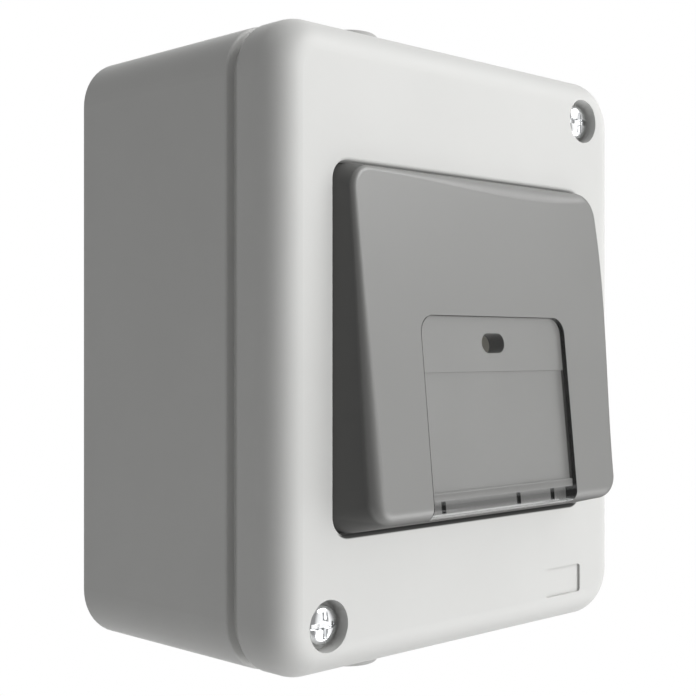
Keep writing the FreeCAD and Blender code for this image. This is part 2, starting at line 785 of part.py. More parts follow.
def make_glow_lamp():
    """Round-ended lamp that stands in its holder behind the rocker's hole."""
    base_y = flange_y - lamp_seat
    nose_y = base_y - lamp_length + lamp_radius
    glass = rod(lamp_radius, nose_y, base_y, 0, lamp_hole_z)
    return glass.fuse(Part.makeSphere(lamp_radius, FreeCAD.Vector(0, nose_y, lamp_hole_z))).removeSplitter()


def main():
    """Build every piece and write each to its own file."""
    pieces = {
        "back_box": make_back_box(),
        "lid_gasket": make_lid_gasket(),
        "front_cover": make_front_cover(),
        "cover_screws": make_cover_screws(),
        "cover_screw_seals": make_cover_screw_seals(),
        "top_cable_grommet": make_cable_grommet(1),
        "bottom_cable_grommet": make_cable_grommet(-1),
        "rocker_seal": make_rocker_seal(),
        "mechanism_base": make_mechanism_base(),
        "mechanism_screws": make_mechanism_screws(),
        "common_contact": make_common_contact(),
        "upper_contact": make_fixed_contact(1),
        "lower_contact": make_fixed_contact(-1),
        "fixed_contact_tips": make_fixed_contact_tips(),
        "terminal_clamps": make_terminal_clamps(),
        "terminal_screws": make_terminal_screws(),
        "lamp_holder": make_lamp_holder(),
        "glow_lamp": make_glow_lamp(),
        "contact_bridge": make_contact_bridge(),
        "bridge_contact_tips": make_bridge_contact_tips(),
        "rocker": make_rocker(),
        "label_window": make_label_window(),
        "rocker_carrier": make_rocker_carrier(),
        "plunger": make_plunger(),
        "plunger_spring": make_plunger_spring(),
    }
    os.makedirs("parts", exist_ok=True)
    for name, shape in pieces.items():
        shape.exportStep("parts/" + name + ".step")
        print(name, len(shape.Solids), shape.isValid(), round(shape.Volume, 2))


main()
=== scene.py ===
"""Looks of a surface-mounted weatherproof rocker switch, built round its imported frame.

X is right seen from the front, +Y goes into the wall and +Z is up, in metres.
"""

import logging
import math
from dataclasses import dataclass, field
from enum import Enum

import bmesh
import bpy
import numpy as np
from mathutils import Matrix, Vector


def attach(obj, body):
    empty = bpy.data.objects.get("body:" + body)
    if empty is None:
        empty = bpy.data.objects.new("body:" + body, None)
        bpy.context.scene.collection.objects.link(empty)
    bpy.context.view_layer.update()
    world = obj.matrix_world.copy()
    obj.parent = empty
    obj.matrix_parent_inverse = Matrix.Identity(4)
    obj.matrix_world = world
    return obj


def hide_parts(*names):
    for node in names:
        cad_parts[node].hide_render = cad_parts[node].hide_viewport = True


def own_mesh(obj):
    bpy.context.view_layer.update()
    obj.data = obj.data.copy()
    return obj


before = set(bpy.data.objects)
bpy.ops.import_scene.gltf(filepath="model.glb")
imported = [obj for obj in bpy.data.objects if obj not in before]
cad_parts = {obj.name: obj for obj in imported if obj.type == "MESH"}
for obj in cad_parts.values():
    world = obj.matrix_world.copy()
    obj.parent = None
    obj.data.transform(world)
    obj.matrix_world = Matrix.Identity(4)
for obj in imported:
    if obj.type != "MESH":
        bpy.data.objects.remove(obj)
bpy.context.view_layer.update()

LOG = logging.getLogger("weatherproof_switch")
Colour = tuple[float, float, float]
Point = tuple[float, float, float]
MM = 0.001
# Points that lie closer than this, in metres, are merged.
WELD = 2e-7
# Most values of a noise lie between these two.
NOISE_MIDDLE = (0.3, 0.7)
CLOUD_DETAIL = 3.0
PALE_GREY: Colour = (0.625, 0.626, 0.613)
FRONT: Point = (0.0, -1.0, 0.0)
# Square to the rocker's face at rest, into the switch.
ROCKER_INWARD: Point = (0.0, 0.99488, -0.10106)


class Body(Enum):
    """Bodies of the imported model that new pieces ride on."""

    HOUSING = "housing"
    PLUNGER = "plunger_unit"


class Lay(Enum):
    """Which way the fine tool marks of a metal run, as a stretch along X, Y and Z."""

    POLISHED = (1.0, 1.0, 1.0)
    ROLLED = (0.06, 1.0, 1.0)
    DRAWN = (1.0, 0.06, 1.0)
    STAMPED = (1.0, 1.0, 0.15)


class NodeGraph:
    """A new material and short ways to fill its node tree."""

    def __init__(self, name: str) -> None:
        """Starts the material with its Principled shader.

        Args:
            name: Name of the material.
        """
        self.material = bpy.data.materials.new(name)
        self.material.use_nodes = True
        self.nodes = self.material.node_tree.nodes
        self.links = self.material.node_tree.links
        self.shader = self.nodes["Principled BSDF"]
        self.place = self.nodes.new("ShaderNodeTexCoord").outputs["Object"]

    def add(self, kind: str, **values: object) -> bpy.types.Node:
        """Adds a node.

        Args:
            kind: Blender's name of the node type, without its ShaderNode prefix.
            values: Settings of the node, or values of its input sockets.

        Returns:
            The new node.
        """
        node = self.nodes.new("ShaderNode" + kind)
        for key, value in values.items():
            if hasattr(node, key):
                setattr(node, key, value)
            else:
                node.inputs[key.replace("_", " ").title()].default_value = value
        return node

    def join(self, source: bpy.types.NodeSocket, node: bpy.types.Node, socket: object) -> None:
        """Links an output to a node's input."""
        self.links.new(source, node.inputs[socket])

    def shade(self, **values: object) -> None:
        """Sets sockets of the Principled shader by name, with underscores for spaces."""
        for key, value in values.items():
            self.shader.inputs[key.replace("_", " ")].default_value = value

    def noise(
        self, size: float, detail: float = 2.0, stretch: Point = (1.0, 1.0, 1.0)
    ) -> bpy.types.NodeSocket:
        """Adds noise in the object's own space.

        Args:
            size: Width of one grain in metres.
            detail: Octaves of the noise.
            stretch: Scale of the space along X, Y and Z; less than one draws the grain out.

        Returns:
            The noise value from 0 to 1.
        """
        mapping = self.add("Mapping")
        mapping.inputs["Scale"].default_value = stretch
        self.join(self.place, mapping, "Vector")
        node = self.add("TexNoise", scale=1.0 / size, detail=detail)
        self.join(mapping.outputs["Vector"], node, "Vector")
        return node.outputs["Fac"]

    def ranged(
        self, source: bpy.types.NodeSocket, start: float, end: float, low: float = 0.0, high: float = 1.0,
        **values: object,
    ) -> bpy.types.NodeSocket:
        """Maps a value from one range to another, held at both ends.

        Args:
            source: Value to map.
            start: Value that gives the low result.
            end: Value that gives the high result.
            low: Result at the start.
            high: Result at the end.
            values: Further settings of the node.

        Returns:
            The mapped value.
        """
        limits = {"from_min": start, "from_max": end, "to_min": low, "to_max": high}
        node = self.add("MapRange", **limits, **values)
        self.join(source, node, "Value")
        return node.outputs["Result"]

    def spread(self, source: bpy.types.NodeSocket, low: float, high: float) -> bpy.types.NodeSocket:
        """Maps the middle of a noise to the range from low to high."""
        return self.ranged(source, *NOISE_MIDDLE, low, high)

    def plus(
        self, base: bpy.types.NodeSocket, mask: bpy.types.NodeSocket, share: float
    ) -> bpy.types.NodeSocket:
        """Adds a share of a mask to a value.

        Args:
            base: Value to add to.
            mask: Mask from 0 to 1.
            share: What a full mask adds.

        Returns:
            The sum, from 0 to 1.
        """
        node = self.add("Math", operation="MULTIPLY_ADD", use_clamp=True)
        node.inputs[1].default_value = share
        self.join(mask, node, 0)
        self.join(base, node, 2)
        return node.outputs["Value"]

    def blend(self, mask: bpy.types.NodeSocket, start: object, end: Colour) -> bpy.types.NodeSocket:
        """Goes from one colour to another.

        Args:
            mask: Mask from 0 to 1.
            start: Colour, or a node's colour output, where the mask is zero.
            end: Colour where the mask is one.

        Returns:
            The blended colour.
        """
        node = self.add("Mix", data_type="RGBA")
        self.join(mask, node, "Factor")
        first, second = [socket for socket in node.inputs if socket.type == "RGBA"]
        if isinstance(start, bpy.types.NodeSocket):
            self.links.new(start, first)
        else:
            first.default_value = (*start, 1.0)
        second.default_value = (*end, 1.0)
        return next(socket for socket in node.outputs if socket.type == "RGBA")

    def edge_faces(self, facing: Point, full: float = 0.3, none: float = 0.6) -> bpy.types.NodeSocket:
        """Marks the faces that stand square to a direction.

        Args:
            facing: Direction in the object's own space.
            full: Cosine to that direction up to which the mark is one.
            none: Cosine from which the mark is zero.

        Returns:
            One on faces that stand square to the direction, zero on those that look along it.
        """
        normal = self.nodes.new("ShaderNodeTexCoord").outputs["Normal"]
        along = self.add("VectorMath", operation="DOT_PRODUCT")
        along.inputs[1].default_value = facing
        self.join(normal, along, 0)
        size = self.add("Math", operation="ABSOLUTE")
        self.join(along.outputs["Value"], size, 0)
        return self.ranged(size.outputs["Value"], full, none, 1.0, 0.0)

    def raised_faces(self, none: float, full: float) -> bpy.types.NodeSocket:
        """Marks the faces that look up.

        Args:
            none: Upward part of the normal up to which the mark is zero.
            full: Upward part from which the mark is one.

        Returns:
            The mark from 0 to 1.
        """
        split = self.add("SeparateXYZ")
        self.join(self.nodes.new("ShaderNodeTexCoord").outputs["Normal"], split, "Vector")
        return self.ranged(split.outputs["Z"], none, full)

    def times(self, first: bpy.types.NodeSocket, second: bpy.types.NodeSocket) -> bpy.types.NodeSocket:
        """Multiplies two marks.

        Args:
            first: Mark from 0 to 1.
            second: Mark from 0 to 1.

        Returns:
            One where both marks are one.
        """
        node = self.add("Math", operation="MULTIPLY")
        self.join(first, node, 0)
        self.join(second, node, 1)
        return node.outputs["Value"]

    def height_band(self, low: float, high: float, steepness: float = 3.0) -> bpy.types.NodeSocket:
        """Marks a level band of the object.

        Args:
            low: Lower end of the band in metres.
            high: Upper end of the band in metres.
            steepness: Rise of the mark over the height of the band.

        Returns:
            One in the middle of the band, falling evenly to zero at its ends.
        """
        split = self.add("SeparateXYZ")
        self.join(self.place, split, "Vector")
        bell = self.add("Math", operation="PINGPONG")
        bell.inputs[1].default_value = 0.5
        self.join(self.ranged(split.outputs["Z"], low, high), bell, 0)
        mark = self.add("Math", operation="MULTIPLY", use_clamp=True)
        mark.inputs[1].default_value = steepness
        self.join(bell.outputs["Value"], mark, 0)
        return mark.outputs["Value"]

    def tint(self, source: bpy.types.NodeSocket, colour: Colour, change: float) -> bpy.types.NodeSocket:
        """Lets a noise move the base colour up and down by a share of itself.

        Args:
            source: Noise value from 0 to 1.
            colour: Middle colour.
            change: Share by which the colour goes up and down.

        Returns:
            The moving colour.
        """
        ramp = self.add("ValToRGB")
        ends = (1.0 - change, 1.0 + change)
        for element, place, share in zip(ramp.color_ramp.elements, NOISE_MIDDLE, ends):
            element.position = place
            element.color = (*(min(1.0, c * share) for c in colour), 1.0)
        self.join(source, ramp, "Fac")
        self.join(ramp.outputs["Color"], self.shader, "Base Color")
        return ramp.outputs["Color"]

    def relief(self, source: bpy.types.NodeSocket, height: float) -> None:
        """Turns a noise into bump on the surface.

        Args:
            source: Noise value from 0 to 1.
            height: Height of the bump in metres.
        """
        bump = self.add("Bump", strength=1.0, distance=height)
        self.join(source, bump, "Height")
        self.join(bump.outputs["Normal"], self.shader, "Normal")


@dataclass(frozen=True)
class ShadedSideWalls:
    """Painted shade round a grained face: walls square to it and a level band at its foot, darker and
    rougher.
    """

    colour: Colour
    band: tuple[float, float]
    roughness: float = 1.0
    facing: Point = FRONT
    full: float = 0.05
    none: float = 0.5

    def mask(self, graph: NodeGraph) -> bpy.types.NodeSocket:
        """Marks the walls from 0 to 1."""
        sides = graph.edge_faces(self.facing, self.full, self.none)
        return graph.plus(sides, graph.height_band(*self.band), 1.0)


@dataclass(frozen=True)
class ShadedLowerLip:
    """Painted shadow on the lip at the lower side of an opening: dark and rough on the faces that look up in
    a level band.
    """

    colour: Colour
    band: tuple[float, float]
    roughness: float = 1.0
    none: float = 0.05
    full: float = 0.4

    def mask(self, graph: NodeGraph) -> bpy.types.NodeSocket:
        """Marks the lip from 0 to 1."""
        return graph.times(graph.raised_faces(self.none, self.full), graph.height_band(*self.band))


@dataclass(frozen=True)
class MouldedPlastic:
    """Opaque moulded plastic with a fine spark-eroded grain."""

    name: str
    colour: Colour
    roughness: float = 0.5
    roughness_change: float = 0.05
    colour_change: float = 0.015
    grain: float = 0.22 * MM
    grain_height: float = 0.004 * MM
    cloud: float = 14.0 * MM
    ior: float = 1.5
    specular: float = 0.4
    # Painted shade on side walls or a lower lip: their darker colour and added roughness.
    painted_shade: ShadedSideWalls | ShadedLowerLip | None = None

    def material(self) -> bpy.types.Material:
        """Builds the material.

        Returns:
            Grain as bump, broad clouds in colour and gloss, and painted shade on walls or a lip if any.
        """
        graph = NodeGraph(self.name)
        graph.shade(IOR=self.ior, Specular_IOR_Level=self.specular)
        clouds = graph.noise(self.cloud, CLOUD_DETAIL)
        grained = graph.tint(clouds, self.colour, self.colour_change)
        low = self.roughness - self.roughness_change
        high = self.roughness + self.roughness_change
        roughness = graph.spread(clouds, low, high)
        # Painted shade: the masked walls or lip turn darker and rougher.
        if self.painted_shade:
            walls = self.painted_shade.mask(graph)
            graph.join(graph.blend(walls, grained, self.painted_shade.colour), graph.shader, "Base Color")
            roughness = graph.plus(roughness, walls, self.painted_shade.roughness)
        graph.join(roughness, graph.shader, "Roughness")
        graph.relief(graph.noise(self.grain), self.grain_height)
        return graph.material


@dataclass(frozen=True)
class ClearPlastic:
    """Thin clear plastic or glass: mostly see-through, with a small share of mirror on each face."""

    name: str
    colour: Colour
    mirror: float = 0.01
    mirror_change: float = 0.002
    roughness: tuple[float, float] = (0.03, 0.06)
    ripple: float = 6.0 * MM
    ripple_height: float = 0.002 * MM
    facing: Point = FRONT
    # Painted shade: dark colour and more opaque mirror on the cut edges and in a level band.
    painted_shade_colour: Colour = (0.05, 0.05, 0.05)
    edge_shade_share: float = 0.0
    # Painted highlight: a level band of stronger white mirror.
    highlight_band: tuple[float, float] | None = None
    highlight_share: float = 0.3
    # Painted shade in a level band at the window's foot.
    shaded_band: tuple[float, float] | None = None
    shaded_band_share: float = 0.2

    def material(self) -> bpy.types.Material:
        """Builds the material.

        Returns:
            A faint rippled mirror with painted shade on its cut edges and in a band at its foot, and a
            painted highlight along one edge.
        """
        graph = NodeGraph(self.name)
        graph.shade(Metallic=1.0)
        ripple = graph.noise(self.ripple)
        # Painted shade on the cut edges: faces square to the facing get dark and more opaque.
        edge = graph.edge_faces(self.facing)
        low = self.mirror - self.mirror_change
        high = self.mirror + self.mirror_change
        share = graph.plus(graph.spread(ripple, low, high), edge, self.edge_shade_share)
        colour = graph.blend(edge, self.colour, self.painted_shade_colour)
        # Painted shade: a darker, more opaque band at the window's foot.
        if self.shaded_band:
            band = graph.height_band(*self.shaded_band)
            share = graph.plus(share, band, self.shaded_band_share)
            colour = graph.blend(band, colour, self.painted_shade_colour)
        # Painted highlight: a band of stronger white mirror along the bottom edge.
        if self.highlight_band:
            band = graph.height_band(*self.highlight_band)
            share = graph.plus(share, band, self.highlight_share)
            colour = graph.blend(band, colour, self.colour)
        graph.join(colour, graph.shader, "Base Color")
        graph.join(share, graph.shader, "Alpha")
        graph.join(graph.spread(ripple, *self.roughness), graph.shader, "Roughness")
        graph.relief(ripple, self.ripple_height)
        return graph.material


@dataclass(frozen=True)
class SoftRubber:
    """Matt moulded rubber with a velvety edge sheen."""

    name: str
    colour: Colour
    roughness: tuple[float, float] = (0.56, 0.68)
    colour_change: float = 0.04
    ior: float = 1.52
    specular: float = 0.3
    sheen: float = 0.15
    sheen_roughness: float = 0.5
    cloud: float = 9.0 * MM
    grain: float = 0.35 * MM
    grain_height: float = 0.006 * MM

    def material(self) -> bpy.types.Material:
        """Builds the material.

        Returns:
            Matt rubber, mottled a little, with fine grain.
        """
        graph = NodeGraph(self.name)
        graph.shade(IOR=self.ior, Specular_IOR_Level=self.specular)
        graph.shade(Sheen_Weight=self.sheen, Sheen_Roughness=self.sheen_roughness)
        clouds = graph.noise(self.cloud, CLOUD_DETAIL)
        graph.tint(clouds, self.colour, self.colour_change)
        graph.join(graph.spread(clouds, *self.roughness), graph.shader, "Roughness")
        graph.relief(graph.noise(self.grain), self.grain_height)
        return graph.material


@dataclass(frozen=True)
class BareMetal:
    """Plated, rolled or polished metal with tool marks along its lay."""

    name: str
    colour: Colour
    roughness: float
    lay: Lay = Lay.POLISHED
    mark: float = 0.12 * MM
    mark_height: float = 0.002 * MM
    mark_gloss: tuple[float, float] = (0.8, 1.25)
    cloud: float = 3.0 * MM
    colour_change: float = 0.03

    def material(self) -> bpy.types.Material:
        """Builds the material.

        Returns:
            Metal whose gloss follows its tool marks.
        """
        graph = NodeGraph(self.name)
        graph.shade(Metallic=1.0)
        marks = graph.noise(self.mark, CLOUD_DETAIL, self.lay.value)
        graph.tint(graph.noise(self.cloud, CLOUD_DETAIL), self.colour, self.colour_change)
        low, high = (self.roughness * share for share in self.mark_gloss)
        graph.join(graph.spread(marks, low, high), graph.shader, "Roughness")
        graph.relief(marks, self.mark_height)
        return graph.material


Finish = MouldedPlastic | ClearPlastic | SoftRubber | BareMetal

HOUSING_PLASTIC = MouldedPlastic("housing_plastic", PALE_GREY)
# Cover plastic; the lower lip of the rocker's opening gets painted shadow, dark and rough.
COVER_PLASTIC = MouldedPlastic(
    "cover_plastic", PALE_GREY,
    painted_shade=ShadedLowerLip((0.06, 0.06, 0.058), (-22.7 * MM, -21.3 * MM)),
)
# Rocker plastic; its side walls and lower end get painted shade, a darker colour and full roughness.
ROCKER_PLASTIC = MouldedPlastic(
    "rocker_plastic", (0.182, 0.182, 0.176), roughness=0.42, specular=1.0, grain_height=0.0015 * MM,
    painted_shade=ShadedSideWalls((0.1, 0.1, 0.097), (-23.0 * MM, -19.6 * MM)),
)
# The label window gets painted shade on its cut edges and foot band, and a painted highlight along its
# bottom edge.
CLEAR_PLASTIC = ClearPlastic(
    "clear_plastic", (0.97, 0.98, 0.975), facing=ROCKER_INWARD, edge_shade_share=0.7,
    highlight_band=(-20.12 * MM, -19.78 * MM), shaded_band=(-20.1 * MM, -17.8 * MM),
)
SEAL_RUBBER = SoftRubber("seal_rubber", (0.03, 0.03, 0.032))
GROMMET_RUBBER = SoftRubber("grommet_rubber", (0.5, 0.5, 0.49))
SCREW_CHROME = BareMetal("screw_chrome", (0.86, 0.87, 0.88), 0.1)
ZINC_STEEL = BareMetal("zinc_steel", (0.62, 0.64, 0.67), 0.28, Lay.STAMPED)
INSERT_PLASTIC = MouldedPlastic("insert_plastic", (0.72, 0.71, 0.67), roughness=0.42)
CARRIER_PLASTIC = MouldedPlastic("carrier_plastic", (0.55, 0.54, 0.5), roughness=0.35)
CONTACT_BRASS = BareMetal("contact_brass", (0.78, 0.57, 0.25), 0.24, Lay.ROLLED)
CONTACT_SILVER = BareMetal("contact_silver", (0.88, 0.87, 0.85), 0.2, Lay.STAMPED)
SPRING_STEEL = BareMetal("spring_steel", (0.5, 0.5, 0.52), 0.22, Lay.DRAWN)
LAMP_GLASS = ClearPlastic("lamp_glass", (0.98, 0.95, 0.9))


class Wardrobe:
    """Materials by finish, each built once."""

    def __init__(self) -> None:
        """Starts empty."""
        self.made: dict[str, bpy.types.Material] = {}

    def of(self, finish: Finish) -> bpy.types.Material:
        """Gives the finish's material, and builds it the first time.

        Args:
            finish: The finish.

        Returns:
            Its material.
        """
        if finish.name not in self.made:
            self.made[finish.name] = finish.material()
        return self.made[finish.name]


WARDROBE = Wardrobe()


def grid_faces(rows: int, columns: int, closed: bool, first: int = 0) -> np.ndarray:
    """Numbers the quads between neighbouring points of a grid.

    Args:
        rows: Rows of points.
        columns: Columns of points.
        closed: Whether the last column joins the first.
        first: Number of the grid's first point.

    Returns:
        Four point numbers for each quad.
    """
    across = columns if closed else columns - 1
    row, column = np.meshgrid(np.arange(rows - 1), np.arange(across), indexing="ij")
    beside = (column + 1) % columns
    here, ahead = row * columns, (row + 1) * columns
    corners = (here + column, here + beside, ahead + beside, ahead + column)
    return np.stack(corners, axis=-1).reshape(-1, 4) + first


def full_turn(count: int) -> np.ndarray:
    """Gives evenly spaced angles once round."""
    return np.linspace(0.0, 2 * math.pi, count, endpoint=False)


def mesh_of(name: str, points: np.ndarray, faces: np.ndarray) -> bpy.types.Mesh:
    """Makes a smooth, welded, outward-facing mesh.

    Args:
        name: Name of the mesh.
        points: Points in metres, one row each.
        faces: Point numbers of each face.

    Returns:
        The mesh, with doubles merged and poles closed.
    """
    mesh = bpy.data.meshes.new(name)
    mesh.from_pydata(points.tolist(), [], faces.tolist())
    work = bmesh.new()
    work.from_mesh(mesh)
    bmesh.ops.remove_doubles(work, verts=work.verts, dist=WELD)
    bmesh.ops.dissolve_degenerate(work, edges=work.edges, dist=WELD)
    bmesh.ops.recalc_face_normals(work, faces=work.faces)
    work.to_mesh(mesh)
    work.free()
    mesh.shade_smooth()
    return mesh


def turned_points(profile: np.ndarray, angles: np.ndarray) -> np.ndarray:
    """Turns a profile about an axis: out times cosine, along, out times sine of the angle.

    Args:
        profile: Out and along of each profile point.
        angles: Angles of the columns.

    Returns:
        Points as a grid of profile rows by angle columns, with the axis along the second coordinate.
    """
    out, along = profile[:, :1], profile[:, 1:]
    grid = (out * np.cos(angles), along + 0.0 * angles, out * np.sin(angles))
    return np.stack(grid, axis=-1)


def dress(node: str, finish: Finish) -> None:
    """Gives a CAD node its finish.

    Args:
        node: Name of the node.
        finish: Its finish.
    """
    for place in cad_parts[node].material_slots:
        place.material = WARDROBE.of(finish)
    LOG.info("%s keeps its solid, in %s", node, finish.name)


def fit_piece(mesh: bpy.types.Mesh, finish: Finish, body: Body, node: str) -> bpy.types.Object:
    """Puts a new piece in the scene in place of a CAD node.

    Args:
        mesh: The piece's mesh, in place; the piece has the same name.
        finish: Its finish; the slot has the same name.
        body: Body that it rides on.
        node: CAD node that it stands for.

    Returns:
        The piece.
    """
    piece = bpy.data.objects.new(mesh.name, mesh)
    bpy.context.scene.collection.objects.link(piece)
    mesh.materials.append(WARDROBE.of(finish))
    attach(piece, body.value)
    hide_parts(node)
    LOG.info("%s: %d faces, rides on %s", mesh.name, len(mesh.polygons), body.value)
    return piece


@dataclass
class Enclosure:
    """Back box, front cover and the gasket between them."""

    def dress(self) -> None:
        """Dresses the two shells and the gasket."""
        dress("back_box", HOUSING_PLASTIC)
        dress("front_cover", COVER_PLASTIC)
        dress("lid_gasket", SEAL_RUBBER)


@dataclass
class CombiScrew:
    """Screw with a domed head, a driving slot with a cross, and a thread.

    Sizes are in millimetres. The reach and end draft of the cross arms are shares of the head's radius, and
    their rise is the share of their depth that is lost on the way to the rim.
    """

    head_radius: float = 2.35
    head_height: float = 1.35
    rim_height: float = 0.35
    dome_power: float = 2.6
    slot_half: float = 0.4
    slot_depth: float = 0.55
    wing_half: float = 0.42
    wing_reach: float = 0.68
    wing_depth: float = 0.85
    wing_rise: float = 0.45
    wing_end_draft: float = 0.02
    wall_draft: float = 0.05
    recess_floor: float = 0.1
    rim_bevel: float = 0.06
    shank_radius: float = 1.45
    thread_pitch: float = 0.9
    thread_depth: float = 0.28
    thread_start: float = 0.4
    thread_runout: float = 0.6
    point_length: float = 1.2
    point_power: float = 0.6
    half_lines: int = 17
    line_digits: int = 4
    pitch_rows: int = 8

    def lines(self) -> np.ndarray:
        """Lays out the head's grid lines.

        Returns:
            Places from -1 to 1, close together at the walls of the recess.
        """
        edges = np.array([self.slot_half, self.wing_half]) / self.head_radius
        ends = [self.wing_reach - self.wing_end_draft, self.wing_reach]
        walls = np.concatenate([edges - self.wall_draft / self.head_radius, edges, ends])
        even = np.linspace(0.0, 1.0, self.half_lines)
        half = np.unique(np.round(np.concatenate([even, walls]), self.line_digits))
        return np.concatenate([-half[:0:-1], half])

    def wall(self, inside: np.ndarray) -> np.ndarray:
        """Rises from 0 at a recess's edge to 1 at the foot of its drafted wall."""
        return np.clip(inside * self.head_radius / self.wall_draft, 0.0, 1.0)

    def head(self) -> np.ndarray:
        """Works out the driven face of the head.

        A square grid (u, v) is laid on the disc by x = u sqrt(1 - v^2/2), z = v sqrt(1 - u^2/2). Its height
        is the dome, rim + rise (1 - r^p)^(1/p), less the recess: the deeper of the slot along x and of the
        two cross arms.

        Returns:
            Points as a square grid, with the height towards the front along -Y.
        """
        lines = self.lines()
        u, v = np.meshgrid(lines, lines, indexing="ij")
        x = u * np.sqrt(1 - v ** 2 / 2)
        z = v * np.sqrt(1 - u ** 2 / 2)
        r = np.minimum(np.hypot(x, z), 1.0)
        rise = self.head_height - self.rim_height
        dome = self.rim_height + rise * (1 - r ** self.dome_power) ** (1 / self.dome_power)
        across, up = np.abs(u), np.abs(v)
        wing = self.wing_half / self.head_radius
        slot = self.slot_depth * self.wall(self.slot_half / self.head_radius - up)
        tall_arm = self.wall(wing - across) * self.wall(self.wing_reach - up)
        wide_arm = self.wall(wing - up) * self.wall(self.wing_reach - across)
        arms = self.wing_depth * (1 - self.wing_rise * r) * np.maximum(tall_arm, wide_arm)
        face = np.maximum(dome - np.maximum(slot, arms), self.recess_floor)
        return np.stack([x * self.head_radius, -face, z * self.head_radius], axis=-1)

    def shank(self, length: float, angles: np.ndarray) -> np.ndarray:
        """Works out the head's rim and the threaded shank.

        The radius runs from the head's rim to the shank, then is the shank's radius less the thread's depth
        times a triangle wave of along / pitch + angle / turn; it narrows to a point at the end.

        Args:
            length: Length under the head.
            angles: Angle of each column.

        Returns:
            Points as a grid of rows along the screw by angle columns.
        """
        count = max(self.pitch_rows, int(length / self.thread_pitch * self.pitch_rows))
        along = np.linspace(0.0, length, count)[:, None]
        wave = (along / self.thread_pitch + angles / (2 * math.pi)) % 1.0
        groove = self.thread_depth * np.abs(2 * wave - 1)
        groove = groove * np.clip((along - self.thread_start) / self.thread_runout, 0.0, 1.0)
        narrow = np.clip((length - along) / self.point_length, 0.0, 1.0) ** self.point_power
        radius = (self.shank_radius - groove) * narrow
        rows = np.stack([radius * np.cos(angles), along + 0 * radius, radius * np.sin(angles)], axis=-1)
        rim = np.array([
            [self.head_radius, -self.rim_height],
            [self.head_radius, -self.rim_bevel],
            [self.head_radius - self.rim_bevel, 0.0],
        ])
        return np.concatenate([turned_points(rim, angles), rows])

    def points(self, seat: Point, length: float) -> tuple[np.ndarray, np.ndarray]:
        """Puts the screw on its seat.

        Args:
            seat: Middle of the head's underside.
            length: Length under the head.

        Returns:
            Points in metres and the faces between them.
        """
        head = self.head()
        side = head.shape[0]
        border = np.concatenate([head[:-1, 0], head[-1, :-1], head[:0:-1, -1], head[0, :0:-1]])
        angles = np.arctan2(border[:, 2], border[:, 0])
        shank = self.shank(length, angles)
        points = np.concatenate([head.reshape(-1, 3), shank.reshape(-1, 3)]) + np.array(seat)
        faces = [grid_faces(side, side, False), grid_faces(len(shank), len(angles), True, side * side)]
        return points * MM, np.concatenate(faces)


@dataclass
class CoverFixings:
    """Two cover screws on one diagonal, with their sealing rings. Sizes in millimetres."""

    screw: CombiScrew = field(default_factory=CombiScrew)
    places: tuple[tuple[float, float], ...] = ((-24.7, -31.9), (24.7, 31.9))
    seat_y: float = -36.1
    length: float = 9.0

    def dress(self) -> None:
        """Builds both screws as one piece and dresses the rings."""
        points, faces = [], []
        for x, z in self.places:
            screw_points, screw_faces = self.screw.points((x, self.seat_y, z), self.length)
            faces.append(screw_faces + sum(len(p) for p in points))
            points.append(screw_points)
        mesh = mesh_of("combi_head_screws", np.concatenate(points), np.concatenate(faces))
        fit_piece(mesh, SCREW_CHROME, Body.HOUSING, "cover_screws")
        dress("cover_screw_seals", SEAL_RUBBER)


@dataclass
class CableEntries:
    """Closed rubber entries at the top and the bottom."""

    def dress(self) -> None:
        """Dresses both grommets."""
        dress("top_cable_grommet", GROMMET_RUBBER)
        dress("bottom_cable_grommet", GROMMET_RUBBER)


@dataclass
class RockerUnit:
    """Rocker cap, its clear label window and the carrier under it."""

    def dress(self) -> None:
        """Dresses the pieces that tip."""
        dress("rocker", ROCKER_PLASTIC)
        dress("label_window", CLEAR_PLASTIC)
        dress("rocker_carrier", CARRIER_PLASTIC)


@dataclass
class SwitchInsert:
    """Moulded insert with its contacts, clamps, screws, seal and lamp."""

    def dress(self) -> None:
        """Dresses the fixed pieces inside."""
        for node in ("mechanism_base", "lamp_holder"):
            dress(node, INSERT_PLASTIC)
        for node in ("mechanism_screws", "terminal_screws"):
            dress(node, ZINC_STEEL)
        for node in ("common_contact", "upper_contact", "lower_contact", "terminal_clamps"):
            dress(node, CONTACT_BRASS)
        dress("fixed_contact_tips", CONTACT_SILVER)
        dress("rocker_seal", SEAL_RUBBER)
        dress("glow_lamp", LAMP_GLASS)


